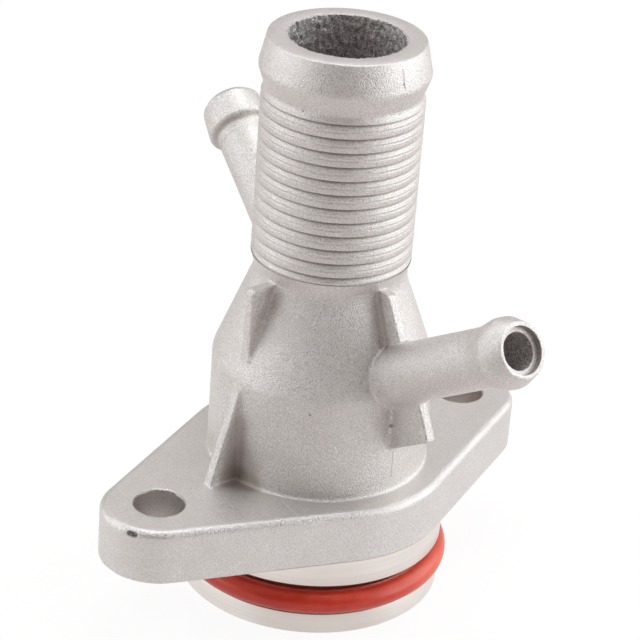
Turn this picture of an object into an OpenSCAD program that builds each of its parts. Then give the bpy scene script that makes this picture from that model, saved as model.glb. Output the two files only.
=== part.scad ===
// Coolant outlet fitting: a straight cast aluminium outlet with a two-bolt flange,
// a turned spigot that carries a seal, a ringed hose tail and two small pipe stubs.
// Millimetres, +Z up along the hose tail. The origin is the centre of the flange's
// mounting face, and the two bolt holes lie on the X axis.

/* [Flange] */
// Thickness of the flange
flange_t = 9.5; // [6:0.5:14]
// Distance between the two bolt holes
hole_spacing = 68; // [62:1:80]
// Diameter of each bolt hole
hole_d = 8.4; // [5.5:0.1:10.5]
// Radius of the flange's round middle
flange_mid_r = 23; // [23:0.5:27]
// Radius of the round lobe at each bolt hole
lobe_r = 9.7; // [8.5:0.1:13]
// Round of the flange's upper edge
flange_edge_r = 1; // [0.4:0.1:2]

/* [Spigot and seal] */
// Diameter of the machined spigot below the flange
spigot_d = 45; // [42:0.5:46]
// Length of the spigot below the mounting face
spigot_len = 14.3; // [12:0.1:20]
// Height of the land between the mounting face and the seal's groove
upper_land = 4.8; // [3:0.1:5.5]
// Height of the seal's groove
groove_h = 5.5; // [4.6:0.1:6.5]
// Thickness of the O-ring's round section
oring_section = 4; // [3:0.1:4.2]
// How far the O-ring stands out of the spigot
oring_proud = 1.2; // [0.6:0.1:1.6]
// Clearance between the O-ring and its groove
oring_gap = 0.1; // [0.05:0.05:0.2]
// Bevel at the spigot's free end
spigot_bevel = 0.5; // [0.2:0.1:1]

/* [Body] */
// Outer radius of the body above the flange
body_r = 18.65; // [17.5:0.05:20]
// Height at which the body starts to narrow
shoulder_z = 27.6; // [25:0.1:30]
// Height at which the body has narrowed to the neck
neck_z = 43; // [41:0.1:44]
// Outer radius of the neck below the rings
neck_r = 12.7; // [12.2:0.05:13]
// Wall of the body around the inner chamber
body_wall = 3.6; // [2.5:0.1:4.5]
// Round where the body stands on the flange
foot_round = 1.2; // [0.8:0.1:3]
// Round of the shoulder and of the neck
body_round = 4; // [2:0.5:6]

/* [Hose tail] */
// Height of the hose tail's top above the mounting face
tail_z = 84; // [80:0.5:95]
// Diameter of the bore
bore_d = 19; // [16:0.5:20]
// Outer radius at the top face
tip_r = 12.8; // [12.2:0.1:13.2]
// Outer radius of the bead near the top
bead_r = 13.9; // [13.5:0.1:14.8]
// Distance of the bead's crest below the top
bead_drop = 5.2; // [4:0.1:7]
// Distance of the narrow waist below the top
waist_drop = 8.6; // [8:0.1:9.5]
// Outer radius of the rings
ring_r = 13.3; // [13:0.05:13.8]
// Depth of the step under each ring
ring_depth = 0.45; // [0.2:0.05:0.6]
// Distance from one ring to the next
ring_pitch = 2.41; // [2:0.05:2.6]
// Number of steps between rings
ring_count = 12; // [6:1:12]
// Distance of the first step below the top
first_step_drop = 9.9; // [9.8:0.1:12]

/* [Side stub] */
// Height at which the side stub's axis meets the main axis
side_z = 20; // [18:0.5:22]
// Rise of the side stub above level, in degrees
side_rise = 31.5; // [25:0.5:38]
// Length of the side stub from the main axis to its mouth
side_len = 52.2; // [46:0.1:60]
// Outer diameter of the side stub
side_d = 9.75; // [8.5:0.05:11]
// Diameter of the side stub's bead
side_bead_d = 11.5; // [11.2:0.1:13]
// Diameter of the side stub's bore
side_bore_d = 6; // [4:0.1:6.6]

/* [Rear stub] */
// Height at which the rear stub's axis meets the main axis
rear_z = 32.8; // [31:0.1:33]
// Rise of the rear stub above level, in degrees
rear_rise = 27.5; // [22:0.5:28]
// Turn of the rear stub from the Y axis towards +X, in degrees
rear_turn = 16; // [0:1:25]
// Length of the rear stub from the main axis to its mouth
rear_len = 49.8; // [42:0.1:56]
// Outer diameter of the rear stub
rear_d = 9.4; // [8.5:0.05:10]
// Diameter of the rear stub's bead
rear_bead_d = 10.8; // [10.6:0.1:12.5]
// Diameter of the rear stub's bore
rear_bore_d = 6; // [4:0.1:6.4]

/* [Ribs] */
// Thickness of every rib
rib_t = 2; // [1.4:0.1:3]
// Reach of the upper fins from the main axis
fin_reach = 17.4; // [16:0.1:18]
// Height of the upper fins' top above the neck's start
fin_rise = 0.7; // [0:0.1:1.5]
// Reach of the lower gussets on the flange, from the body's wall
gusset_reach = 5.45; // [3:0.05:7]
// Height of the lower gussets above the flange
gusset_h = 17; // [10:0.5:18]
// Reach of the upper web's top corner from the neck's wall
web_top_reach = 2.5; // [1.5:0.1:4]
// Distance of the lower web's outer edge from the body's wall, along the level
web_low_reach = 8.5; // [6:0.1:10]
// Depth of the lower web below the side stub's axis
web_low_depth = 13.8; // [11:0.1:15]

/* [Hidden] */
$fn = 96;

// Small lengths that the shapes share
sunk = 0.02;
round_steps = 5;
arc_steps = 6;
beyond = 1;

// Soft edges: top of the hose tail, its mouth, its bead, the chamber's mouth
tip_round = 0.8;
mouth_bevel = 0.2;
bead_round = 2;
bead_over = 0.1;
chamber_bevel = 1;

// Spigot, groove and seal
spigot_r = spigot_d / 2;
groove_top = -upper_land;
groove_low = groove_top - groove_h;
oring_r = oring_section / 2;
oring_mid_r = spigot_r + oring_proud - oring_r;
oring_z = groove_low + oring_gap + oring_r;
groove_r = oring_mid_r - oring_r - oring_gap;

// Body and chamber
cone_slope = (body_r - neck_r) / (neck_z - shoulder_z);
cone_lean = atan(cone_slope);
bore_r = bore_d / 2;
chamber_r = body_r - body_wall;
chamber_low_z = shoulder_z - body_wall * tan(cone_lean / 2);
chamber_top_z = chamber_low_z + (chamber_r - bore_r) / cone_slope;

// Rings of the hose tail: a step in, a short steep lip and a long slope back out,
// each end given as a share of the pitch below the step
ring_root = 0.07;
ring_lip = 0.2;
ring_slope = 0.5;
ring_last = 0.55;
ring_lip_depth = 0.4;
bead_z = tail_z - bead_drop;
waist_z = tail_z - waist_drop;
first_step_z = tail_z - first_step_drop;
ring_root_r = ring_r - ring_depth;
ring_lip_r = ring_r - ring_depth * ring_lip_depth;
last_ring_z = first_step_z - (ring_count - 1 + ring_last) * ring_pitch;
collar_z = last_ring_z - ring_depth;

// Proportions of a stub's bead, as shares of its pipe's diameter
bead_nose = 0.28;
bead_crest = 0.14;
bead_back = 0.38;

// Other proportions of a stub: its root and its nose as shares of its pipe's radius,
// the counterbore as shares of its bore
stub_root = 1.04;
stub_rim = 0.97;
stub_nose = 0.93;
counterbore_d = 1.29;
counterbore_h = 0.176;
nose_round = 1;
nose_steps = 3;
rim_h = 0.2;

// Webs of the side stub: height of the upper one above the neck, and how far each
// edge leans out, as a share of its height
web_rise = 1.4;
web_top_lean = 0.508;
web_low_lean = 0.463;
web_run = 10;
web_foot = 2;

function polar(r, a) = [r * cos(a), r * sin(a)];

// Points of an arc round a centre, from one angle to another
function arc(centre, r, from, to, n = arc_steps) =
    [for (i = [0 : n]) centre + polar(r, from + (to - from) * i / n)];

// Points that round a corner between two straight edges
function corner(before, at, after, r, n = arc_steps) =
    let (u = (before - at) / norm(before - at))
    let (v = (after - at) / norm(after - at))
    let (half = acos(u * v) / 2)
    let (middle = (u + v) / norm(u + v))
    let (centre = at + middle * r / sin(half))
    let (first = at + u * r / tan(half) - centre)
    let (last = at + v * r / tan(half) - centre)
    let (from = atan2(first[1], first[0]))
    let (turn = atan2(first[0] * last[1] - first[1] * last[0], first * last))
    arc(centre, r, from, from + turn, n);

// Outline of the whole turned shape, as [radius, height] from the bottom up
function spigot_edge() = concat(
    [[0, -spigot_len], [spigot_r - spigot_bevel, -spigot_len], [spigot_r, -spigot_len + spigot_bevel]],
    [[spigot_r, groove_low], [groove_r, groove_low], [groove_r, groove_top], [spigot_r, groove_top]],
    [[spigot_r, flange_t / 2], [body_r + foot_round, flange_t / 2]]);

function body_edge() =
    let (foot = [body_r, flange_t - sunk])
    let (shoulder = [body_r, shoulder_z])
    let (neck = [neck_r, neck_z])
    let (collar = [neck_r, collar_z])
    concat(
        corner([body_r + 2 * foot_round, flange_t - sunk], foot, shoulder, foot_round),
        corner(foot, shoulder, neck, body_round),
        corner(shoulder, neck, collar, body_round),
        [collar]);

// One step, from the foot of the slope below it, through the lip and the root, to its edge
function ring_edge(i) =
    let (step_z = first_step_z - i * ring_pitch)
    [[ring_r, step_z - ring_pitch * ring_slope],
     [ring_lip_r, step_z - ring_pitch * ring_lip],
     [ring_root_r, step_z - ring_pitch * ring_root],
     [ring_r, step_z]];

function tail_edge() = concat(
    [[ring_r, last_ring_z]],
    [for (i = [ring_count - 1 : -1 : 0]) each ring_edge(i)],
    [[tip_r, waist_z]],
    corner([tip_r, waist_z], [bead_r + bead_over, bead_z], [tip_r, tail_z], bead_round),
    corner([bead_r, bead_z], [tip_r, tail_z], [bore_r, tail_z], tip_round),
    [[0, tail_z]]);

// Middle of the casting, from the spigot's end to the hose tail's top
module turned_outside() {
    rotate_extrude()
        polygon(concat(spigot_edge(), body_edge(), tail_edge()));
}

// Chamber and bore that run right through
module passage() {
    rotate_extrude()
        polygon([
            [0, -spigot_len - beyond],
            [chamber_r + chamber_bevel, -spigot_len - beyond],
            [chamber_r + chamber_bevel, -spigot_len],
            [chamber_r, -spigot_len + chamber_bevel],
            [chamber_r, chamber_low_z],
            [bore_r, chamber_top_z],
            [bore_r, tail_z - mouth_bevel],
            [bore_r + mouth_bevel, tail_z],
            [bore_r + mouth_bevel, tail_z + beyond],
            [0, tail_z + beyond]]);
}

// Half section of the flange's plate with its rounded upper edge
function plate_edge(r) = concat(
    [[0, 0], [r, 0]],
    arc([r - flange_edge_r, flange_t - flange_edge_r], flange_edge_r, 0, 90, round_steps),
    [[0, flange_t]]);

module plate_disc(r) {
    rotate_extrude($fn = 72)
        polygon(plate_edge(r));
}

// Two-bolt plate: a round middle and two round lobes with straight sides between them
module flange() {
    hull() {
        plate_disc(flange_mid_r);
        for (side = [-1, 1])
            translate([side * hole_spacing / 2, 0, 0])
                plate_disc(lobe_r);
    }
}

module bolt_holes() {
    for (side = [-1, 1])
        translate([side * hole_spacing / 2, 0, -beyond])
            cylinder(h = flange_t + 2 * beyond, d = hole_d);
}

// Half section of a stub, as [radius, distance from the main axis]
function stub_edge(length, d, bead_d) =
    let (r = d / 2)
    let (crest = bead_d / 2)
    let (nose = length - d * bead_nose)
    let (back = nose - d * bead_crest)
    concat(
        [[0, 0], [r * stub_root, 0]],
        [[r, back - d * bead_back], [crest, back]],
        corner([crest, back], [crest, nose], [r * stub_nose, length], nose_round, nose_steps),
        [[r * stub_rim, length - rim_h], [r * stub_nose, length], [0, length]]);

module stub(length, d, bead_d) {
    rotate_extrude()
        polygon(stub_edge(length, d, bead_d));
}

module stub_bore(length, bore) {
    cylinder(h = length + beyond, d = bore);
    translate([0, 0, length - bore * counterbore_h])
        cylinder(h = length, d = bore * counterbore_d);
}

// Puts a stub on the main axis at a height, leaning away from +Z to its own side
module at_side() {
    translate([0, 0, side_z])
        rotate([90 - side_rise, 0, 0])
            children();
}

module at_rear() {
    translate([0, 0, rear_z])
        rotate([rear_rise - 90, 0, -rear_turn])
            children();
}

// A rib in an upright plane: points are [distance from the main axis, height]
module rib(points, heading) {
    rotate([0, 0, heading])
        rotate([90, 0, 0])
            translate([0, 0, -rib_t / 2])
                linear_extrude(height = rib_t)
                    polygon(points);
}

// Upper fin and lower gusset over each lobe of the flange
module lobe_ribs(heading) {
    inner = bore_r + (neck_r - bore_r) / 2;
    fin_top = neck_z + fin_rise;
    fin_low = neck_z - (fin_reach - neck_r) / cone_slope;
    rib([[inner, fin_low], [fin_reach, fin_low], [fin_reach, fin_top - rib_t / 4],
         [fin_reach - rib_t / 4, fin_top], [inner, fin_top]], heading);
    root = body_r - body_wall / 2;
    rib([[root, flange_t / 2], [body_r + gusset_reach, flange_t / 2], [body_r + gusset_reach, flange_t],
         [body_r, flange_t + gusset_h], [root, flange_t + gusset_h]], heading);
}

// Webs above and below the side stub, in the plane of its axis
module stub_webs() {
    top_z = neck_z + web_rise;
    web_top = neck_r + web_top_reach;
    inner = bore_r + (neck_r - bore_r) / 2;
    low_r = body_r + web_low_reach;
    low_z = side_z + low_r * tan(side_rise) - web_low_depth;
    root = body_r - body_wall / 2;
    root_z = low_z - (low_r - root) * tan(side_rise);
    rib([[inner, top_z], [web_top, top_z], [web_top + web_run * web_top_lean, top_z - web_run],
         [root, side_z + body_r * tan(side_rise)], [inner, neck_z - web_foot]], -90);
    rib([[root, root_z], [low_r, low_z], [low_r - web_run * web_low_lean, low_z + web_run],
         [root, side_z + root * tan(side_rise)]], -90);
}

module outlet_casting() {
    color("gainsboro")
        difference() {
            union() {
                turned_outside();
                flange();
                at_side() stub(side_len, side_d, side_bead_d);
                at_rear() stub(rear_len, rear_d, rear_bead_d);
                lobe_ribs(0);
                lobe_ribs(180);
                stub_webs();
            }
            passage();
            bolt_holes();
            at_side() stub_bore(side_len, side_bore_d);
            at_rear() stub_bore(rear_len, rear_bore_d);
        }
}

// Rubber O-ring, seated in the spigot's groove
module o_ring() {
    color("firebrick")
        translate([0, 0, oring_z])
            rotate_extrude()
                translate([oring_mid_r, 0])
                    circle(r = oring_r, $fn = 48);
}

outlet_casting();
o_ring();
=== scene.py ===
import math

import bpy
import numpy as np
from mathutils import Euler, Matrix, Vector


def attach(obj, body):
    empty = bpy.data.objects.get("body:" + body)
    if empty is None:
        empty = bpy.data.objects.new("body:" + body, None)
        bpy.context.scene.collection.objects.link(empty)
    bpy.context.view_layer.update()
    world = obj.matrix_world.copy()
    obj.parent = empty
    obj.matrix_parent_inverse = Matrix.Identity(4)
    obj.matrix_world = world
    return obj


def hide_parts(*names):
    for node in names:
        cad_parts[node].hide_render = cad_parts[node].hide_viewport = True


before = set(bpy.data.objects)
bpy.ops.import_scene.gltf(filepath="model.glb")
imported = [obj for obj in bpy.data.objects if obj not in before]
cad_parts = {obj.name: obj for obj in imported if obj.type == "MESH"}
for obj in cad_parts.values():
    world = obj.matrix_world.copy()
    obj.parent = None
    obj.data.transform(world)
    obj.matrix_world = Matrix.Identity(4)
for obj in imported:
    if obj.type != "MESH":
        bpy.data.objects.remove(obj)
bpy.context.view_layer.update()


# The camera: it stands high in front of the fitting, towards -X and -Y, and looks down along
# a long lens, so the flange's top, the seal and the mouth of the hose tail are seen at once.
lens = bpy.data.cameras.new("camera")
lens.sensor_width = 36
lens.lens = 148.162
lens.clip_start = 0.01
lens.clip_end = 50
camera = bpy.data.objects.new("camera", lens)
camera.location = (-0.26904, -0.285326, 0.232391)
camera.rotation_euler = Euler([math.radians(a) for a in (63.0192, -3.9436, -41.172)], "XYZ")
bpy.context.scene.collection.objects.link(camera)
bpy.context.scene.camera = camera


# The rough casting: the two-bolt flange, the body that narrows to the neck, the ribs and the
# pipes of both stubs. It is one pressure casting in aluminium, blasted with fine shot, so all
# its inner corners are soft fillets and its edges are a little rounded. Millimetres.
MM = 0.001
FLANGE_T, HOLE_X, HOLE_R, MIDDLE_R, LOBE_R = 9.5, 34.0, 4.2, 23.0, 9.7
TOP_EDGE, UNDER_EDGE = 1.25, 0.3
BODY_R, SHOULDER_Z, NECK_Z, NECK_R = 18.65, 27.6, 43.0, 12.7
COLLAR_Z = 45.81
BORE_R, CHAMBER_R = 9.5, 15.05
SLOPE = (BODY_R - NECK_R) / (NECK_Z - SHOULDER_Z)


def rounded(points, radii, steps=8):
    """A bent line with its corners rounded: each corner gives way to an arc of the radius
    given for it, which touches both of the straight runs that meet there. An arc of up to half
    a millimetre has two steps, a larger one the number given."""
    line = [points[0]]
    for before, at, after, r in zip(points, points[1:], points[2:], radii[1:]):
        if r <= 0:
            line.append(at)
            continue
        u, v = np.subtract(before, at), np.subtract(after, at)
        u, v = u / np.linalg.norm(u), v / np.linalg.norm(v)
        half = math.acos(np.clip(u @ v, -1, 1)) / 2
        middle = np.add(at, (u + v) / np.linalg.norm(u + v) * r / math.sin(half))
        first = np.add(at, u * r / math.tan(half)) - middle
        last = np.add(at, v * r / math.tan(half)) - middle
        turn = math.atan2(first[0] * last[1] - first[1] * last[0], first @ last)
        for angle in np.linspace(0, turn, (steps if r > 0.5 else 2) + 1):
            c, s = math.cos(angle), math.sin(angle)
            swung = (c * first[0] - s * first[1], s * first[0] + c * first[1])
            line.append((middle[0] + swung[0], middle[1] + swung[1]))
    return np.array(line + [points[-1]], dtype=float)


def fuse(a, b, r):
    """Joins two shapes given by their distances, with a fillet of radius r in the corner
    between them."""
    return np.maximum(r, np.minimum(a, b)) - np.hypot(np.maximum(r - a, 0), np.maximum(r - b, 0))


def trim(a, b, r):
    """Keeps what lies in both shapes, with the edge between them rounded to radius r."""
    return np.minimum(-r, np.maximum(a, b)) + np.hypot(np.maximum(r + a, 0), np.maximum(r + b, 0))


def flange_plate(x, y, z):
    """Distance to the plate: in plan a large circle and a small one with the line that touches
    both, mirrored to all four quarters, and in height from the underside to the top."""
    ax, ay = np.abs(x), np.abs(y)
    lean = math.asin((MIDDLE_R - LOBE_R) / HOLE_X)
    along = ax * math.cos(lean) - ay * math.sin(lean)
    plan = np.where(along < 0, np.hypot(ax, ay) - MIDDLE_R,
                    np.where(along > HOLE_X * math.cos(lean), np.hypot(ax - HOLE_X, ay) - LOBE_R,
                             ax * math.sin(lean) + ay * math.cos(lean) - MIDDLE_R))
    return trim(trim(plan, z - FLANGE_T, TOP_EDGE), -z, UNDER_EDGE)


body_line = rounded([(BODY_R, 0), (BODY_R, SHOULDER_Z), (NECK_R, NECK_Z), (NECK_R, 60)], [0, 4, 4, 0])
body_z = np.linspace(0, 60, 601)
body_radius = np.interp(body_z, body_line[:, 1], body_line[:, 0])
body_lean = 1 / np.sqrt(1 + np.gradient(body_radius, body_z) ** 2)


def body(x, y, z):
    """Distance to the turned body: how far a point is from the axis, less the radius at its
    height, times the cosine of the wall's slope there."""
    return (np.hypot(x, y) - np.interp(z, body_z, body_radius)) * np.interp(z, body_z, body_lean)


def plate_rib(out, across, z, corners, soft=0.35, thick=2.0, draft=0.03):
    """Distance to a flat rib: inside all the straight edges through its corners, given as
    distance from the axis and height, and within half its thickness, which grows a little
    towards the root."""
    edges = []
    for (x0, z0), (x1, z1) in zip(corners, corners[1:] + corners[:1]):
        length = math.hypot(x1 - x0, z1 - z0)
        edges.append(((out - x0) * (z1 - z0) - (z - z0) * (x1 - x0)) / length)
    outline = edges[0]
    for edge in edges[1:]:
        outline = trim(outline, edge, 0.3)
    return trim(outline, np.abs(across) - thick / 2 + draft * np.minimum(outline, 0), soft)


FIN = [(10.5, 31.0), (17.4, 30.84), (17.4, 43.2), (16.9, 43.7), (10.5, 43.7)]
GUSSET = [(15.0, 3.0), (24.1, 3.0), (24.1, 9.5), (18.65, 26.5), (15.0, 26.5)]
TOP_WEB = [(10.5, 36.0), (16.85, 28.0), (22.0, 31.01), (15.2, 44.4), (10.5, 44.4)]
LOW_WEB = [(15.0, 15.4), (27.15, 22.84), (22.52, 32.84), (15.0, 29.0)]

# A stub starts on the main axis at a height and runs in the direction of its aim. Foot, back,
# nose and mouth are distances along it: where its bead rises, where the bead is full, where
# the nose starts and where the stub ends. The side stub's bead is soft, the rear one's stepped.
SIDE = {"z": 20.0, "aim": (0.0, -0.8526402, 0.5224986), "d": 9.75, "bead": 11.5, "bore": 6.0,
        "foot": 44.4, "back": 48.105, "nose": 49.47, "mouth": 52.2,
        "foot_arc": 7.0, "back_arc": 1.6, "taper": 0.0, "shadow": 0.0}
REAR = {"z": 32.8, "aim": (0.2444957, 0.8526472, 0.4617486), "d": 9.4, "bead": 11.7, "bore": 6.0,
        "foot": 41.9, "back": 42.3, "nose": 47.6, "mouth": 48.6,
        "foot_arc": 0.3, "back_arc": 0.5, "taper": 0.55, "shadow": 0.32}


def along_stub(stub, x, y, z):
    """Turns points into distance along a stub's axis and distance from that axis."""
    a = stub["aim"]
    s = x * a[0] + y * a[1] + (z - stub["z"]) * a[2]
    return s, np.sqrt(np.maximum(x * x + y * y + (z - stub["z"]) ** 2 - s * s, 1e-9))


def stub_pipe(stub, x, y, z):
    """Distance to a stub's pipe, a round bar that thins slightly outwards and ends just
    before the back of its bead."""
    s, off = along_stub(stub, x, y, z)
    radius = stub["d"] / 2 * (1.04 - 0.04 * np.clip(s / stub["foot"], 0, 1))
    return np.maximum(np.maximum(off - radius, s - stub["foot"] + 1.0), -s)


FOOT_FILLET, RIB_FILLET, REAR_FILLET, HOLE_EDGE = 0.6, 0.5, 1.6, 0.2


def casting(x, y, z):
    """Distance to the whole rough casting: the shapes above fused one after another with
    fillets, less the two bolt holes."""
    whole = fuse(flange_plate(x, y, z), body(x, y, z), FOOT_FILLET)
    fin, gusset = (plate_rib(np.abs(x), y, z, corners) for corners in (FIN, GUSSET))
    whole = fuse(whole, fuse(fin, gusset, RIB_FILLET), RIB_FILLET)
    webs = np.minimum(plate_rib(-y, x, z, TOP_WEB), plate_rib(-y, x, z, LOW_WEB))
    side = fuse(stub_pipe(SIDE, x, y, z), webs, RIB_FILLET)
    whole = fuse(fuse(whole, side, RIB_FILLET), stub_pipe(REAR, x, y, z), REAR_FILLET)
    return trim(whole, HOLE_R - np.hypot(np.abs(x) - HOLE_X, y), HOLE_EDGE)


def skin(distance, low, high, step):
    """The surface where a distance is zero: space is cut into small cells, each cell that the
    surface passes through gets one point, at the mean of the crossings on its edges and then
    moved on to the surface along the steepest slope, and each crossed edge becomes a face of
    the four points around it. Points in the lowest and highest layers go to the end planes."""
    count = np.ceil((np.array(high) - low) / step).astype(int) + 1
    axes = [np.linspace(a, b, n, dtype=np.float32) for a, b, n in zip(low, high, count)]
    field = distance(*np.meshgrid(*axes, indexing="ij")).astype(np.float32)
    inside = field < 0
    cells = tuple(n - 1 for n in field.shape)
    corner = lambda f, i, j, k: f[i:i + cells[0], j:j + cells[1], k:k + cells[2]]
    eight = [(i, j, k) for i in (0, 1) for j in (0, 1) for k in (0, 1)]
    filled = sum(corner(inside, *which).astype(np.int8) for which in eight)
    at = np.argwhere((filled > 0) & (filled < 8))
    number = np.full(cells, -1, dtype=np.int64)
    number[tuple(at.T)] = np.arange(len(at))
    total, hits = np.zeros((len(at), 3)), np.zeros(len(at))
    for way in range(3):
        for a in (0, 1):
            for b in (0, 1):
                start = np.insert(np.array([a, b]), way, 0)
                end = start + np.eye(3, dtype=int)[way]
                v0, v1 = field[tuple((at + start).T)], field[tuple((at + end).T)]
                cut = (v0 < 0) != (v1 < 0)
                share = np.where(cut, v0 / np.where(cut, v0 - v1, 1), 0)
                total += cut[:, None] * (at + start + share[:, None] * (end - start))
                hits += cut
    spacing = np.array([axis[1] - axis[0] for axis in axes])
    points = np.array(low) + total / hits[:, None] * spacing
    ends = [at[:, 2] == 0, at[:, 2] == cells[2] - 1]

    def slope(p, reach=0.04):
        rises = [distance(*(p + d).T) - distance(*(p - d).T) for d in np.eye(3) * reach]
        return np.stack(rises, axis=1) / (2 * reach)

    for _ in range(3):
        steep = slope(points)
        move = distance(*points.T)[:, None] * steep / np.maximum((steep ** 2).sum(1), 0.2)[:, None]
        points -= np.clip(move, -step / 2, step / 2)
        points[ends[0], 2], points[ends[1], 2] = low[2], high[2]
    faces = []
    for way in range(3):
        b, c = (way + 1) % 3, (way + 2) % 3
        first = np.take(inside, range(field.shape[way] - 1), way)
        second = np.take(inside, range(1, field.shape[way]), way)
        edge = np.argwhere(first != second)
        edge = edge[(edge[:, b] > 0) & (edge[:, c] > 0)]
        edge = edge[(edge[:, b] < cells[b]) & (edge[:, c] < cells[c])]
        outward = first[tuple(edge.T)]
        ring = []
        for db, dc in ((1, 1), (0, 1), (0, 0), (1, 0)):
            cell = edge.copy()
            cell[:, b] -= db
            cell[:, c] -= dc
            ring.append(number[tuple(cell.T)])
        ring = np.stack(ring, axis=1)
        faces.append(np.where(outward[:, None], ring, ring[:, ::-1]))
    steep = slope(points)
    normals = steep / np.maximum(np.linalg.norm(steep, axis=1), 1e-6)[:, None]
    return points, np.concatenate(faces), normals


def make_piece(name, points, faces, normals=None, crease=None):
    """Puts arrays of points in millimetres and of faces into a new object at the origin. Its
    faces are smooth, either with given normals or with creases above an angle."""
    mesh = bpy.data.meshes.new(name)
    used = np.unique(faces)
    order = np.full(len(points), -1)
    order[used] = np.arange(len(used))
    points, faces = points[used] * MM, order[faces]
    mesh.vertices.add(len(points))
    mesh.vertices.foreach_set("co", points.astype(np.float32).ravel())
    mesh.loops.add(faces.size)
    mesh.loops.foreach_set("vertex_index", faces.astype(np.int32).ravel())
    mesh.polygons.add(len(faces))
    mesh.polygons.foreach_set("loop_start", np.arange(0, faces.size, faces.shape[1], dtype=np.int32))
    mesh.update(calc_edges=True)
    mesh.validate()
    mesh.shade_smooth()
    if normals is not None:
        mesh.normals_split_custom_set_from_vertices(normals[used].astype(np.float32))
    if crease is not None:
        mesh.set_sharp_from_angle(angle=math.radians(crease))
    piece = bpy.data.objects.new(name, mesh)
    bpy.context.scene.collection.objects.link(piece)
    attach(piece, "root")
    return piece


class Wire:
    """An output of a shader node. Sums, products and the like of wires add Math nodes."""

    def __init__(self, tree, socket=None):
        self.tree, self.socket = tree, socket

    def node(self, kind, settings=None, sockets=None, out=0):
        """Adds a node of a type: its settings are set first, then its sockets are given their
        values or linked, and the wanted output comes back."""
        new = self.tree.nodes.new("ShaderNode" + kind)
        for name, value in (settings or {}).items():
            if name == "stops":
                ramp = new.color_ramp
                while len(ramp.elements) < len(value):
                    ramp.elements.new(1.0)
                for element, (place, colour) in zip(ramp.elements, value):
                    element.position, element.color = place, (*colour, 1)
            else:
                setattr(new, name, value)
        for key, value in (sockets or {}).items():
            if isinstance(value, Wire):
                self.tree.links.new(value.socket, new.inputs[key])
            else:
                new.inputs[key].default_value = value
        return Wire(self.tree, new.outputs[out])

    def maths(self, operation, a, b=0.0):
        return self.node("Math", {"operation": operation}, {0: a, 1: b})

    def __add__(self, other):
        return self.maths("ADD", self, other)

    def __sub__(self, other):
        return self.maths("SUBTRACT", self, other)

    def __mul__(self, other):
        return self.maths("MULTIPLY", self, other)

    def __rsub__(self, other):
        return self.maths("SUBTRACT", other, self)

    __radd__, __rmul__ = __add__, __mul__

    def rise(self, low, high):
        """Goes smoothly from 0 to 1 while this goes from low to high, or back if low is more."""
        settings = {"interpolation_type": "SMOOTHSTEP"}
        return self.node("MapRange", settings, {0: self, 1: low, 2: high})

    def vector(self, operation, a, b=(0, 0, 0), out=0):
        return self.node("VectorMath", {"operation": operation}, {0: a, 1: b}, out)

    def place(self):
        """Where a point of the surface is in the object's own space."""
        return self.node("TexCoord", out="Object")

    def part(self, axis):
        """One of the three numbers of a vector."""
        return self.node("SeparateXYZ", {}, {0: self}, axis)

    def noise(self, grain_mm, detail=2.0, rough=0.5, squash=None):
        """Cloudy noise in the object's own space, with spots of about a given size."""
        where = self.vector("MULTIPLY", self.place(), squash) if squash else self.place()
        sockets = {"Vector": where, "Scale": 1 / (grain_mm * MM), "Detail": detail, "Roughness": rough}
        return self.node("TexNoise", {}, sockets, "Fac")

    def near(self, places_mm, width_mm):
        """1 close to a line between two places, or to one place, and 0 beyond a width."""
        start, end = (np.array(p, dtype=float) * MM for p in (places_mm[0], places_mm[-1]))
        run = end - start
        here = self.vector("SUBTRACT", self.place(), start)
        share = self.vector("DOT_PRODUCT", here, run / max(run @ run, 1e-12), "Value")
        share = self.node("Clamp", {}, {0: share, 1: 0.0, 2: 1.0})
        foot = self.node("VectorMath", {"operation": "SCALE"}, {0: run, "Scale": share})
        gap = self.vector("DISTANCE", here, foot, "Value")
        return gap.rise(width_mm * MM, width_mm * MM * 0.4)

    def blend(self, factor, first, second):
        """Mixes two colours."""
        colours = {0: factor, 6: first if isinstance(first, Wire) else (*first, 1),
                   7: second if isinstance(second, Wire) else (*second, 1)}
        return self.node("Mix", {"data_type": "RGBA"}, colours, 2)


def new_material(name):
    """An empty material, as a wire on its node tree to start from."""
    material = bpy.data.materials.new(name)
    material.use_nodes = True
    material.node_tree.nodes.clear()
    return material, Wire(material.node_tree)


def finish_material(wire, metallic, colour, roughness, height, coat=0.0):
    """Closes a material with a metal or rubber shader, whose bump comes from a height in
    metres."""
    bump = wire.node("Bump", {}, {"Strength": 1.0, "Distance": 1.0, "Height": height})
    sockets = {"Base Color": colour, "Metallic": metallic, "Roughness": roughness, "Normal": bump,
               "Coat Weight": coat, "Coat Roughness": 0.25}
    shader = wire.node("BsdfPrincipled", {}, sockets)
    out = wire.tree.nodes.new("ShaderNodeOutputMaterial")
    wire.tree.links.new(shader.socket, out.inputs[0])


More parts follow.
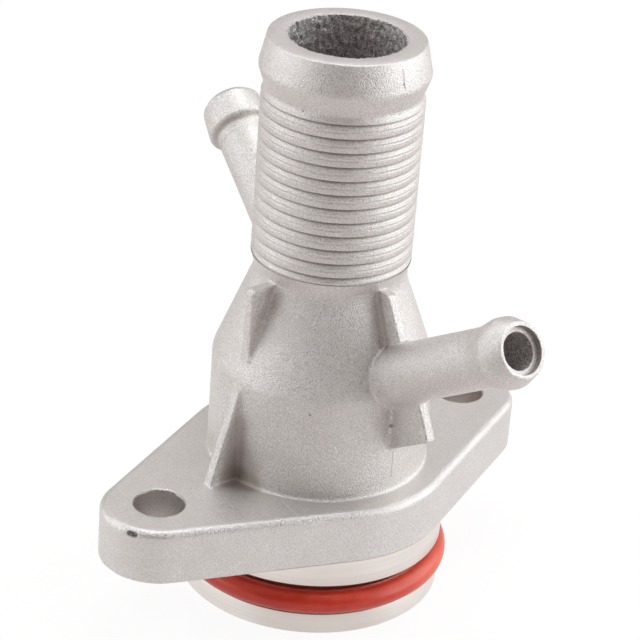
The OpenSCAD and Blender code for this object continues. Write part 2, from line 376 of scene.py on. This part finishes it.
def cast_metal(name, marks=(), hollow=None, sparkle=1.0, shade_mask=None):
    """Blasted cast aluminium: a pale warm grey with fine sparkling grain, calmer on level and
    low faces, cloudy patches, a few small pits and a low relief of the same grain, with worn
    spots on edges that face half upwards. Marks are spots and lines: each has its two ends or
    its middle, a width, a shade, a depth and a strength. A hollow mask is 1 inside a bore,
    which is darker and coarser, and a shade mask is 1 where brown shade is painted into hollows and
    corners."""
    material, w = new_material(name)
    grain, patches, coarse = w.noise(0.23, 2.0, 0.55), w.noise(7.0, 3.0), w.noise(1.1, 2.0)
    up, z = w.node("NewGeometry", out="Normal").part("Z"), w.place().part("Z")
    edge, on_flange = up.rise(0.42, 0.6) * up.rise(0.95, 0.85), z.rise(10.5 * MM, 8.5 * MM)
    contrast = (1.15 - up.rise(0.75, 0.97) * 0.6) * (1 - on_flange * 0.35) * sparkle
    speck = (grain.rise(0.3, 0.7) - 0.5) * contrast + 0.5
    colour = w.blend(speck, (0.60, 0.565, 0.555), (0.87, 0.845, 0.835))
    colour = w.blend(patches.rise(0.35, 0.7) * 0.3, colour, (0.67, 0.64, 0.62))
    pits = w.node("TexVoronoi", {"feature": "F1"}, {"Vector": w.place(), "Scale": 230.0})
    pit = pits.rise(0.07, 0.035) * w.noise(5.0, 0.0).rise(0.56, 0.62)
    roughness = 0.37 + grain.rise(0.3, 0.7) * 0.14
    dent = pit * 0.5
    colour = w.blend(pit * 0.25, colour, (0.24, 0.22, 0.21))
    for places, width, shade, depth, strength in marks:
        mark = w.near(places, width) * (0.55 + grain.rise(0.35, 0.6) * 0.45)
        colour, dent = w.blend(mark * strength, colour, shade), dent + mark * depth
    if hollow:
        inner, coarse_grain = hollow(w), w.noise(0.26, 1.0, 0.5).rise(0.3, 0.75)
        darker = w.blend(coarse_grain, (0.37, 0.34, 0.335), (0.9, 0.865, 0.855))
        colour, roughness = w.blend(inner, colour, darker), roughness + inner * 0.1
    # Painted shade: a brown darkening in hollows and corners, where the shade mask says.
    if shade_mask:
        colour = w.blend(shade_mask(w), colour, (0.26, 0.21, 0.18))
    height = speck * 0.055 + edge * w.noise(0.55, 1.0) * 0.06 + coarse * 0.05 - dent * 0.06
    finish_material(w, 0.9, colour, roughness, height * MM)
    return material


DARK, BROWN, BRIGHT = (0.07, 0.06, 0.055), (0.36, 0.29, 0.25), (0.93, 0.93, 0.92)
# A nick in the flange's edge, scratches on its top, the parting line of the die, pits, a
# bright scratch, and brown painted shade in the corners of the fin, the gusset and the upper web.
BODY_MARKS = [
    ([(-42.9, -3.65, 8.7), (-42.45, -4.6, 8.68)], 0.62, DARK, 3.0, 1.0),
    ([(-17.3, -11.6, 9.5), (-17.9, -15.8, 9.5)], 0.3, BRIGHT, 0.6, 0.25),
    ([(-15.6, -13.6, 9.5), (-16.6, -17.4, 9.5)], 0.25, BRIGHT, 0.5, 0.2),
    ([(0.0, -18.65, 17.5), (0.0, -18.65, 12.2)], 0.13, BROWN, 1.0, 0.6),
    ([(-1.25, -18.85, 22.4)], 0.4, DARK, 2.0, 0.7),
    ([(-13.74, -12.61, 25.4)], 0.3, DARK, 2.0, 0.7),
    ([(-10.5, -15.42, 19.9), (-10.1, -15.7, 18.7)], 0.2, BRIGHT, -1.0, 0.8),
    ([(0.5, -18.3, 37.3)], 0.35, DARK, 2.0, 0.7),
    ([(-12.9, -1.25, 43.9)], 0.35, DARK, 2.0, 0.6),
    # Painted shade: brown darkening in the corners of the fin, the gusset and the upper web.
    ([(-13.6, -2.6, 42.6), (-15.2, -1.6, 39.0)], 1.6, BROWN, 0.0, 0.25),
    ([(-19.8, -1.6, 10.6), (-18.4, -4.2, 10.0)], 2.8, BROWN, 0.0, 0.5),
    ([(-21.0, -1.0, 10.0), (-18.7, -1.2, 20.0)], 2.4, BROWN, 0.0, 0.28),
    ([(-18.9, -2.2, 9.0), (-18.6, -2.6, 13.0)], 4.5, BROWN, 0.0, 0.3),
    ([(-1.0, -12.9, 43.8), (-1.0, -18.0, 31.0)], 1.0, BROWN, 0.0, 0.45),
]
points, faces, normals = skin(casting, (-45.2, -49.0, -0.8), (45.2, 49.6, 58.0), 0.48)
middle = points[faces].mean(axis=1)
off_axis = np.hypot(middle[:, 0], middle[:, 1])
hidden = (middle[:, 2] < 1) & (off_axis < 21.5) | (middle[:, 2] > COLLAR_Z + 0.2) & (off_axis < 14)
faces = faces[~hidden]
rough_casting = make_piece("casting_body", points, faces, normals)


def bolt_hole_shade(w):
    """Painted shade on the walls of the two bolt holes, weaker towards the underside."""
    x, y, z = (w.place().part(axis) for axis in "XYZ")
    aside = w.maths("ABSOLUTE", x) - HOLE_X * MM
    off = w.maths("SQRT", aside * aside + y * y)
    return off.rise(4.5 * MM, 4.3 * MM) * (0.1 + z.rise(2.5 * MM, 8.0 * MM) * 0.35)


rough_casting.data.materials.append(cast_metal("blasted_aluminium", BODY_MARKS, shade_mask=bolt_hole_shade))
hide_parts("outlet_casting")


# The hose tail: the straight pipe above the neck, cast with twelve fine rings, a waist and a
# round bead that hold the hose, and a plain mouth. Its bore is cored and left rough.
TAIL_Z, TIP_R, BEAD_R, BEAD_Z, WAIST_Z = 84.0, 12.8, 13.9, 78.8, 75.4
RING_R, RING_DEPTH, RING_PITCH, RING_COUNT, TOP_STEP_Z = 13.3, 0.45, 2.41, 12, 74.28


def turned(line, start=(0, 0, 0), aim=(0, 0, 1), count=256):
    """A shape of revolution: a line of radius and distance along an axis is carried once round
    that axis, which starts at a point and goes in a direction."""
    aim = np.array(aim, dtype=float)
    u = np.cross(aim, (0.0, 0.0, 1.0) if abs(aim[2]) < 0.9 else (0.0, 1.0, 0.0))
    u /= np.linalg.norm(u)
    v = np.cross(aim, u)
    turn = np.linspace(0, 2 * math.pi, count, endpoint=False)
    around = np.cos(turn)[:, None] * u + np.sin(turn)[:, None] * v
    points = np.array(start) + line[:, 1, None] * aim + line[:, 0, None] * around[:, None, :]
    i, j = np.meshgrid(np.arange(count), np.arange(len(line) - 1), indexing="ij")
    i, j, nxt = i.ravel(), j.ravel(), ((i + 1) % count).ravel()
    n = len(line)
    faces = np.stack([i * n + j, nxt * n + j, nxt * n + j + 1, i * n + j + 1], axis=1)
    return points.reshape(-1, 3), faces


# From the neck up: each ring has a fine second line, a land, and a slope down to a narrow
# groove under the step of the next ring.
ring_line = [(NECK_R - 0.5, COLLAR_Z - 0.3), (NECK_R, COLLAR_Z), (RING_R, COLLAR_Z + 0.4)]
ring_soft = [0, 0.2, 0.12]
for i in range(RING_COUNT - 1, -1, -1):
    step = TOP_STEP_Z - i * RING_PITCH
    if i < RING_COUNT - 1:
        ring_line += [(RING_R, step - 1.6), (RING_R - 0.09, step - 1.33)]
        ring_soft += [0.3, 0.03]
    ring_line += [(RING_R, step - 1.18), (RING_R, step - 1.0), (RING_R - 0.07, step - 0.92),
                  (RING_R - 0.13, step - 0.65), (RING_R - RING_DEPTH, step - 0.25),
                  (RING_R - RING_DEPTH, step - 0.1), (RING_R, step)]
    ring_soft += [0.04, 0.04, 0.03, 0.15, 0.04, 0.03, 0.04]
ring_line += [(TIP_R, WAIST_Z), (BEAD_R + 0.1, BEAD_Z), (TIP_R, TAIL_Z), (BORE_R, TAIL_Z)]
ring_soft += [1.2, 2.0, 0.28, 0.08]
wall = [(BORE_R, z) for z in np.append(np.arange(83.7, 62, -0.35), (58.0, 50.0, 44.0))]
points, faces = turned(rounded(ring_line + wall, ring_soft + [0] * len(wall)), count=228)
# The rough wall of the bore: the sum of 60 waves round and along it, each with its own number
# of turns, slant and lag, moves it in or out.
angle, off_axis = np.arctan2(points[:, 1], points[:, 0]), np.hypot(points[:, 0], points[:, 1])
waves = np.random.default_rng(7)
rough = np.zeros(len(points))
for _ in range(60):
    turns, rise, lag = waves.integers(3, 70), waves.normal(0, 2.2), waves.uniform(0, 6.3)
    rough += np.sin(turns * angle + rise * points[:, 2] + lag)
rough = 0.016 * rough * (off_axis < BORE_R + 0.12)
points[:, :2] *= (1 + np.maximum(rough, -0.25) / off_axis)[:, None]
hose_tail = make_piece("hose_tail", points, faces, crease=40)
# The fine line where the halves of the die met, down over the bead, and a pit.
TAIL_MARKS = [
    ([(-0.1, -13.15, 82.8), (-0.1, -13.6, 80.4)], 0.2, BROWN, 1.5, 0.8),
    ([(-0.1, -13.6, 80.4), (0.45, -13.75, 78.6)], 0.2, DARK, 1.5, 0.75),
    ([(0.3, -13.3, 77.2), (0.1, -12.95, 74.8)], 0.16, BROWN, 1.0, 0.5),
    ([(-12.2, -4.1, 75.3)], 0.25, DARK, 1.5, 0.6),
]


def off_axis_of(w):
    """Distance of a point of the surface from the main axis."""
    return w.vector("LENGTH", w.vector("MULTIPLY", w.place(), (1, 1, 0)), out="Value")


def in_bore(w):
    """1 on the wall of the bore and 0 on every other face of the tail."""
    return off_axis_of(w).rise(9.85 * MM, 9.72 * MM)


def groove_shade(w):
    """Painted shade at the bottom of the grooves between the rings."""
    z = w.place().part("Z")
    deep = off_axis_of(w).rise(13.1 * MM, 12.92 * MM)
    return deep * z.rise(74.4 * MM, 74.3 * MM) * z.rise(46.4 * MM, 46.6 * MM) * 0.6


blasted_tail = cast_metal("blasted_aluminium_tail", TAIL_MARKS, in_bore, 0.8, groove_shade)
hose_tail.data.materials.append(blasted_tail)
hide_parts("outlet_casting")


# The ends of the two stubs: a bead that holds a small hose, a blunt nose and a thin
# counterbore round the bore. They are cast and then drilled.
COUNTERBORE, COUNTERBORE_DEPTH = 1.29, 1.06


def stub_end_line(stub):
    """The line that is carried round a stub's axis: up the pipe, over the bead and the nose,
    across the mouth and down the counterbore and the bore."""
    r, crest, bore = stub["d"] / 2, stub["bead"] / 2, stub["bore"] / 2
    foot, mouth, ledge = stub["foot"], stub["mouth"], stub["mouth"] - COUNTERBORE_DEPTH
    line = [(r * 1.002 + 0.02, foot - 2.0), (r + 0.02, foot), (crest, stub["back"]),
            (crest - stub["taper"], stub["nose"]), (r * 0.93, mouth),
            (bore * COUNTERBORE, mouth), (bore * COUNTERBORE, ledge), (bore, ledge),
            (bore, mouth - 16)]
    arcs = [0, stub["foot_arc"], stub["back_arc"], 1.0, 0.3, 0.08, 0.1, 0.15, 0]
    return rounded(line, arcs, 6)


def in_stub(w, stub):
    """1 on the wall of a stub's bore, and 1 on the wall of its counterbore, but 0 on the ledge
    between them. Also 1 in the corner behind the bead."""
    here = w.vector("SUBTRACT", w.place(), np.array((0, 0, stub["z"])) * MM)
    down = w.vector("DOT_PRODUCT", here, stub["aim"], "Value")
    off = w.vector("LENGTH", w.vector("CROSS_PRODUCT", here, stub["aim"]), out="Value")
    bore, crest = stub["bore"] / 2, stub["bead"] / 2
    inner = off.rise((bore + 0.12) * MM, (bore + 0.04) * MM)
    wide = bore * COUNTERBORE
    wall = off.rise((wide - 0.12) * MM, (wide - 0.04) * MM)
    wall = wall * down.rise((stub["mouth"] - 0.05) * MM, (stub["mouth"] - 0.2) * MM)
    wall = wall * off.rise((wide + 0.14) * MM, (wide + 0.06) * MM)
    behind = down.rise((stub["foot"] - 0.7) * MM, stub["foot"] * MM)
    behind = behind * down.rise((stub["back"] + 0.1) * MM, (stub["back"] - 0.1) * MM)
    behind = behind * off.rise((crest - 0.1) * MM, (crest - 0.6) * MM)
    return inner, wall, behind


def darker_in(stub):
    """The hollow mask of a stub's end: its bore and its counterbore wall, whose darkening is painted
    shade.
    """
    def mask(w):
        inner, wall, behind = in_stub(w, stub)
        return inner + wall
    return mask


def stub_end_shade(stub):
    """The shade mask of a stub's end: shade painted on its counterbore wall and in the corner behind a
    square bead.
    """
    def mask(w):
        inner, wall, behind = in_stub(w, stub)
        return wall * 0.6 + behind * stub["shadow"]
    return mask


for name, stub in (("side_stub_end", SIDE), ("rear_stub_end", REAR)):
    points, faces = turned(stub_end_line(stub), (0, 0, stub["z"]), stub["aim"], 128)
    end = make_piece(name, points, faces, crease=40)
    blasted = cast_metal("blasted_aluminium_" + name, (), darker_in(stub), 1.0, stub_end_shade(stub))
    end.data.materials.append(blasted)
    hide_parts("outlet_casting")


# The inside of the casting: the chamber of the body, the cone and bore above it and the
# drilled ways into both stubs, all one rough cored surface that coolant runs through. Its
# last stretch before each mouth belongs to the hose tail, the stub ends and the spigot.
CHAMBER_TOP = 26.9
CONE_TOP = CHAMBER_TOP + (CHAMBER_R - BORE_R) / SLOPE
inner_line = [(CHAMBER_R, -20), (CHAMBER_R, CHAMBER_TOP), (BORE_R, CONE_TOP), (BORE_R, 60)]
inner_line = rounded(inner_line, [0, 3, 3, 0])
inner_z = np.linspace(-20, 60, 801)
inner_radius = np.interp(inner_z, inner_line[:, 1], inner_line[:, 0])


def passages(x, y, z):
    """Distance from the open space inside, counted negative in the metal: the turned chamber
    and bore joined with the two drilled holes."""
    space = np.hypot(x, y) - np.interp(z, inner_z, inner_radius)
    for stub in (SIDE, REAR):
        s, off = along_stub(stub, x, y, z)
        drilled = np.maximum(off - stub["bore"] / 2, np.maximum(-s, s - stub["mouth"] + 14))
        space = np.minimum(space, drilled)
    return -space


points, faces, normals = skin(passages, (-16.4, -34.0, -13.0), (16.4, 33.0, 44.6), 0.6)
inside = make_piece("casting_inside", points, faces, normals)
cored = cast_metal("cored_aluminium", (), lambda w: w.noise(9.0, 2.0) * 0.1 + 0.75)
inside.data.materials.append(cored)
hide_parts("outlet_casting")


# The spigot: the round plug below the flange that enters the engine. It is turned bright on a
# lathe, with a groove for the seal between two plain lands and a small bevel at its end.
SPIGOT_R, SPIGOT_Z, GROOVE_TOP, GROOVE_LOW, GROOVE_R = 22.5, -14.3, -4.8, -10.3, 19.6
BEVEL, INNER_BEVEL = 0.5, 1.0
line = [(CHAMBER_R, -12.0), (CHAMBER_R, SPIGOT_Z + INNER_BEVEL),
        (CHAMBER_R + INNER_BEVEL, SPIGOT_Z), (SPIGOT_R - BEVEL, SPIGOT_Z),
        (SPIGOT_R, SPIGOT_Z + BEVEL), (SPIGOT_R, GROOVE_LOW), (GROOVE_R, GROOVE_LOW),
        (GROOVE_R, GROOVE_TOP), (SPIGOT_R, GROOVE_TOP), (SPIGOT_R, 0.3)]
arcs = [0, 0.1, 0.1, 0.15, 0.15, 0.15, 0.3, 0.3, 0.15, 0]
points, faces = turned(rounded(line, arcs), count=320)
spigot = make_piece("spigot", points, faces, crease=40)
material, w = new_material("turned_aluminium")
turning, cloud = w.noise(0.35, 2.0, 0.6, (0.012, 0.012, 1.0)), w.noise(5.0, 2.0)
colour = w.blend(turning.rise(0.3, 0.7), (0.84, 0.79, 0.75), (0.90, 0.86, 0.82))
colour = w.blend(cloud.rise(0.4, 0.75) * 0.2, colour, (0.74, 0.70, 0.67))
# Painted shade: a darker, warmer patch on the front of the lower land stands for the dim reflection of
# the room in front.
colour = w.blend(w.near([(-13.0, -18.5, -12.5)], 16.0) * 0.5, colour, (0.62, 0.56, 0.50))
finish_material(w, 0.95, colour, 0.27 + turning * 0.1, turning * 0.000006)
spigot.data.materials.append(material)
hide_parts("outlet_casting")


# The seal: a moulded O-ring of red silicone rubber in the spigot's groove, smooth, with a
# soft sheen, a little dust and a painted highlight on its right side.
RING_MIDDLE_R, RING_SECTION_R, RING_Z = 21.7, 2.0, -8.28
turn = np.linspace(0, 2 * math.pi, 48, endpoint=False)
section = np.stack([np.cos(turn), np.sin(turn)], axis=1) * RING_SECTION_R + (RING_MIDDLE_R, RING_Z)
points, faces = turned(np.vstack([section, section[:1]]), count=288)
seal = make_piece("seal_ring", points, faces)
material, w = new_material("red_silicone")
cloud, dust = w.noise(3.0, 3.0), w.noise(0.5, 2.0)
colour = w.blend(cloud.rise(0.3, 0.7), (0.65, 0.038, 0.016), (0.74, 0.055, 0.024))
colour = w.blend(dust.rise(0.6, 0.8) * 0.08, colour, (0.75, 0.35, 0.28))
# Painted highlight: a lighter, brighter red patch on the right side of the ring.
colour = w.blend(w.near([(12.0, -19.0, -6.5)], 15.0) * 0.35, colour, (0.93, 0.20, 0.12))
finish_material(w, 0.0, colour, 0.3 + cloud * 0.08, dust * 0.00001, 0.1)
seal.data.materials.append(material)
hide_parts("o_ring")


# The studio: a pale floor just under the spigot's end, two large soft lamps at the sides, one
# above and three weak ones that fill the shadows. The room is darker in front than behind, so
# the middle of the pipe stays darker than its sides.
floor_mesh = bpy.data.meshes.new("floor")
s, z = 3.0, (SPIGOT_Z - 0.03) * MM
floor_mesh.from_pydata([(-s, -s, z), (s, -s, z), (s, s, z), (-s, s, z)], [], [(0, 1, 2, 3)])
floor = bpy.data.objects.new("floor", floor_mesh)
bpy.context.scene.collection.objects.link(floor)
material, w = new_material("white_paper")
light = lambda which: w.node("LightPath", out=which)
# Painted light: for reflections the floor glows, and more strongly close to the fitting, so the metal
# mirrors a bright floor around it.
close = off_axis_of(w).rise(0.15, 0.05)
seen = light("Is Camera Ray") * 0.85 + light("Is Glossy Ray") * (0.2 + close * 0.48)
paper = w.node("BsdfDiffuse", {}, {"Color": (0.62, 0.565, 0.55, 1)})
glow = w.node("Emission", {}, {"Color": (1, 1, 1, 1), "Strength": 1.08})
mixed = w.node("MixShader", {}, {0: seen, 1: paper, 2: glow})
out = w.tree.nodes.new("ShaderNodeOutputMaterial")
w.tree.links.new(mixed.socket, out.inputs[0])
floor_mesh.materials.append(material)

world = bpy.data.worlds.new("studio")
bpy.context.scene.world = world
world.use_nodes = True
world.node_tree.nodes.clear()
w = Wire(world.node_tree)
direction = w.node("TexCoord", out="Generated")
front = w.vector("DOT_PRODUCT", direction, (-0.66, -0.70, 0.28), "Value")
grey = 0.54 - front.rise(-0.5, 0.75) * 0.41
white = w.node("LightPath", out="Is Camera Ray")
strength = white + (1 - white) * grey
tint = w.blend(front.rise(-0.5, 0.6), (1.0, 0.95, 0.92), (1.0, 0.80, 0.77))
tint = w.blend(white, tint, (1.0, 1.0, 1.0))
sky = w.node("Background", {}, {"Color": tint, "Strength": strength})
out = world.node_tree.nodes.new("ShaderNodeOutputWorld")
world.node_tree.links.new(sky.socket, out.inputs[0])


MIDDLE_Z = 0.035


def lamp(name, place, size, power):
    """A square soft lamp that looks at the middle of the fitting."""
    data = bpy.data.lights.new(name, "AREA")
    data.size, data.energy, data.color = size, power, (0.95, 1.0, 1.0)
    holder = bpy.data.objects.new(name, data)
    holder.location = place
    away = Vector(place) - Vector((0, 0, MIDDLE_Z))
    holder.rotation_euler = away.to_track_quat("Z", "Y").to_euler()
    bpy.context.scene.collection.objects.link(holder)


lamp("right_lamp", (0.84, -0.54, 0.45), 1.2, 8.6)
lamp("high_right_lamp", (0.03, -0.60, 0.74), 0.5, 0.4)
lamp("low_left_lamp", (-0.88, 0.12, 0.08), 0.5, 0.15)
lamp("front_right_lamp", (0.45, -0.89, 0.20), 0.5, 1.8)
lamp("left_lamp", (-0.79, 0.61, 0.45), 1.1, 6.9)
lamp("top_lamp", (0.1, 0.1, 0.95), 0.7, 4.4)

bpy.context.scene.view_settings.view_transform = "Standard"
